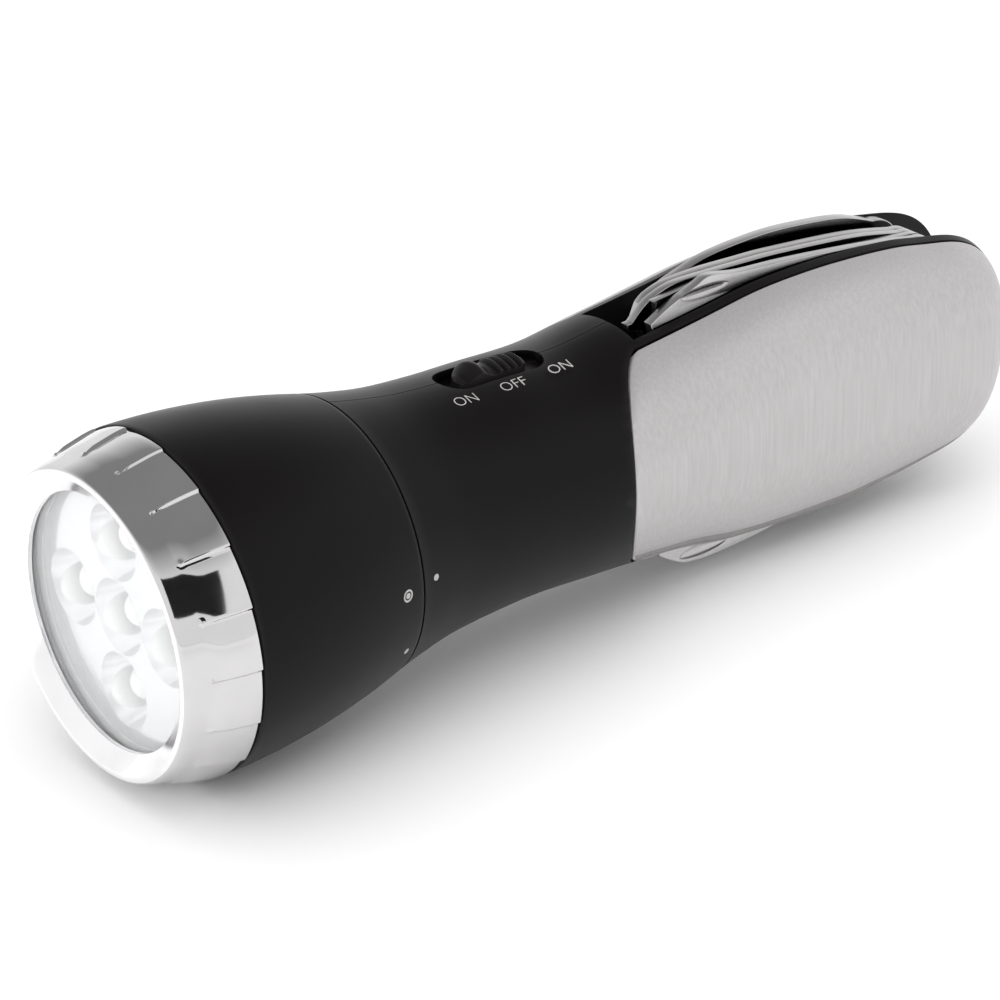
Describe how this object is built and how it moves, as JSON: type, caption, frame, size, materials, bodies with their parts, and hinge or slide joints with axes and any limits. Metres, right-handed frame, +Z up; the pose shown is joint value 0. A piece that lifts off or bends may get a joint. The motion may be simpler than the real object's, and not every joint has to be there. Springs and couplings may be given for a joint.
{
  "type": "multi-tool flashlight",
  "caption": "Black pocket torch with a chrome bezel and a twist-off head, a sliding thumb switch, and steel tools that fold into the handle between two brushed side plates.",
  "frame": {"origin": "bottom centre of the torch's bounding box, below the middle of its length", "axes": "+X along the torch from its lens to its tail, +Z up on the switch side, -Y towards the camera"},
  "size_m": [0.1542, 0.047, 0.0468],
  "materials": {
    "chrome_trim": "bright chrome with stepped facets",
    "clear_lens": "clear polished disc",
    "black_rubber": "matte rubber",
    "silvered_reflector": "vacuum silvered plastic",
    "led_body": "clear domed lamp",
    "circuit_board": "coated board",
    "spring_steel": "plain steel",
    "black_shell": "satin black moulding",
    "plate_steel": "fine brushing across the handle",
    "black_knob": "satin black moulding",
    "inner_plastic": "plain black moulding",
    "cell_sleeve": "plain dark sleeve",
    "tool_steel": "satin steel with bright edges"
  },
  "bodies": {
    "handle": {"left_shell": "black_shell", "right_shell": "black_shell", "left_side_plate": "plate_steel", "right_side_plate": "plate_steel", "neck_o_ring": "black_rubber", "switch_body": "inner_plastic", "battery_holder": "inner_plastic", "battery_1": "cell_sleeve", "battery_2": "cell_sleeve", "battery_3": "cell_sleeve", "battery_spring_1": "spring_steel", "battery_spring_2": "spring_steel", "battery_spring_3": "spring_steel", "rear_contact_spring": "spring_steel", "upper_spacer": "spring_steel", "lower_spacer_1": "spring_steel", "lower_spacer_2": "spring_steel", "lower_spacer_3": "spring_steel", "back_spring_1": "spring_steel", "back_spring_2": "spring_steel", "back_spring_3": "spring_steel", "back_spring_4": "spring_steel", "top_pivot_pin": "spring_steel", "bottom_pivot_pin": "spring_steel", "front_spring_pin": "spring_steel", "rear_spring_pin": "spring_steel"},
    "head": {"bezel": "chrome_trim", "lens": "clear_lens", "lens_gasket": "black_rubber", "reflector": "silvered_reflector", "led_centre": "led_body", "led_top": "led_body", "led_near": "led_body", "led_bottom": "led_body", "led_far": "led_body", "led_board": "circuit_board", "head_contact_spring": "spring_steel", "head_bell": "black_shell"},
    "switch": {"switch_knob": "black_knob"},
    "knife": {"knife_blade": "tool_steel"},
    "screwdriver": {"small_screwdriver": "tool_steel"},
    "bottle_lever": {"bottle_opener": "tool_steel"},
    "can_lever": {"can_opener": "tool_steel"},
    "saw": {"saw_blade": "tool_steel"},
    "file": {"nail_file": "tool_steel"},
    "punch": {"awl": "tool_steel"},
    "cross_driver": {"phillips_screwdriver": "tool_steel"}
  },
  "joints": [
    {"name": "head_twist", "type": "hinge", "parent": "handle", "child": "head", "pos_m": [-0.0492, 0, 0.02341], "axis": [-1, 0, 0], "range_deg": [0, 27]},
    {"name": "switch_slide", "type": "slide", "parent": "handle", "child": "switch", "axis": [1, 0, 0], "range_m": [-0.0024, 0.0024]},
    {"name": "knife_hinge", "type": "hinge", "parent": "handle", "child": "knife", "pos_m": [0.06089, 0, 0.03461], "axis": [0, 1, 0], "range_deg": [0, 180]},
    {"name": "small_screwdriver_hinge", "type": "hinge", "parent": "handle", "child": "screwdriver", "pos_m": [0.06089, 0, 0.03461], "axis": [0, 1, 0], "range_deg": [0, 180]},
    {"name": "bottle_opener_hinge", "type": "hinge", "parent": "handle", "child": "bottle_lever", "pos_m": [0.06089, 0, 0.03461], "axis": [0, 1, 0], "range_deg": [0, 180]},
    {"name": "can_opener_hinge", "type": "hinge", "parent": "handle", "child": "can_lever", "pos_m": [0.06089, 0, 0.03461], "axis": [0, 1, 0], "range_deg": [0, 180]},
    {"name": "saw_hinge", "type": "hinge", "parent": "handle", "child": "saw", "pos_m": [0.06089, 0, 0.03461], "axis": [0, 1, 0], "range_deg": [0, 180]},
    {"name": "nail_file_hinge", "type": "hinge", "parent": "handle", "child": "file", "pos_m": [0.06089, 0, 0.01221], "axis": [0, -1, 0], "range_deg": [0, 180]},
    {"name": "awl_hinge", "type": "hinge", "parent": "handle", "child": "punch", "pos_m": [0.06089, 0, 0.01221], "axis": [0, -1, 0], "range_deg": [0, 180]},
    {"name": "phillips_hinge", "type": "hinge", "parent": "handle", "child": "cross_driver", "pos_m": [0.06089, 0, 0.01221], "axis": [0, -1, 0], "range_deg": [0, 180]}
  ]
}
